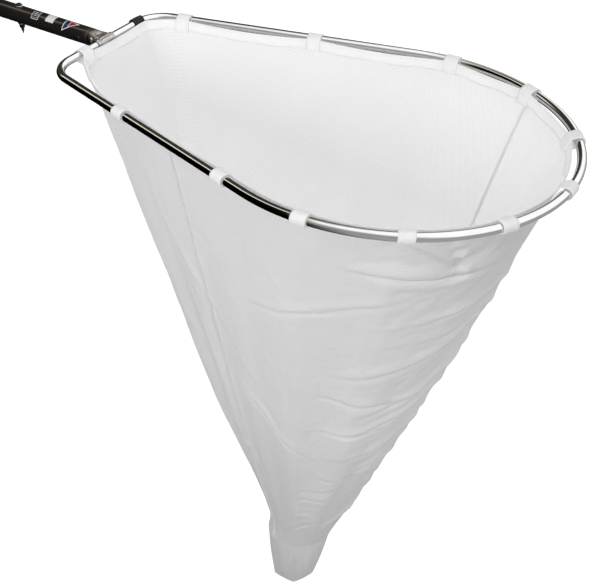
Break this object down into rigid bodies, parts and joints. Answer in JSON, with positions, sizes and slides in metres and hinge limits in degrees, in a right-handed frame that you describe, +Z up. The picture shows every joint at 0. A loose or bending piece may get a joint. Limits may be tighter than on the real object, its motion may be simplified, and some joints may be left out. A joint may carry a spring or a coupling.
{
  "type": "leaf skimmer net",
  "caption": "Pear-shaped tube hoop on a straight pole socket, with a deep tapering mesh bag hung from webbing loops and a cross bolt with a wing nut.",
  "frame": {"origin": "centre of the pole socket's open mouth", "axes": "+X along the socket towards the hoop, +Z up with the bag hanging down, Y across the hoop"},
  "size_m": [1.1166, 0.4937, 1.1142],
  "materials": {
    "bright_tube": "bright anodised",
    "dull_metal": "satin",
    "cast_joint": "brushed, part oxidised",
    "gunmetal": "dark gloss anodised",
    "zinc": "zinc plated",
    "black_metal": "satin black",
    "label": "printed film, blank",
    "white_webbing": "woven webbing",
    "black_webbing": "ribbed webbing",
    "white_net": "fine translucent mesh",
    "seam_tape": "folded net binding"
  },
  "bodies": {
    "net": {"hoop_tube": "bright_tube", "splice_sleeve": "dull_metal", "splice_dowel": "dull_metal", "splice_rivet_near": "dull_metal", "splice_rivet_far": "dull_metal", "yoke": "cast_joint", "socket_tube": "gunmetal", "socket_rivet_near": "dull_metal", "socket_rivet_far": "dull_metal", "label_square": "label", "label_plain": "label", "label_pennant": "label", "loop_01": "white_webbing", "loop_02": "white_webbing", "loop_03": "white_webbing", "loop_04": "white_webbing", "loop_05": "white_webbing", "loop_06": "white_webbing", "loop_07": "white_webbing", "loop_08": "white_webbing", "loop_09": "white_webbing", "loop_10": "white_webbing", "loop_11": "white_webbing", "loop_12": "white_webbing", "black_strap": "black_webbing", "hem_band": "white_webbing", "net_panel_near": "white_net", "net_panel_far": "white_net", "tail_pouch": "white_net", "seam_tape_near": "seam_tape", "seam_tape_far": "seam_tape"},
    "lock_bolt": {"lock_bolt": "black_metal", "bolt_washer": "zinc"},
    "nut_washer": {"nut_washer": "zinc"},
    "wing_nut": {"wing_nut": "black_metal"}
  },
  "joints": [
    {"name": "bolt_lift", "type": "slide", "parent": "net", "child": "lock_bolt", "axis": [0, 0, 1], "range_m": [0, 0.046]},
    {"name": "nut_travel", "type": "slide", "parent": "net", "child": "nut_washer", "axis": [0, 0, -1], "range_m": [0, 0.00481]},
    {"name": "nut_spin", "type": "hinge", "parent": "nut_washer", "child": "wing_nut", "pos_m": [0.161, 0, -0.0157], "axis": [0, 0, -1], "range_deg": [0, 2160]}
  ],
  "couplings": [
    {"joint": "nut_travel", "follows": "nut_spin", "m_per_rad": 0.00012732}
  ]
}
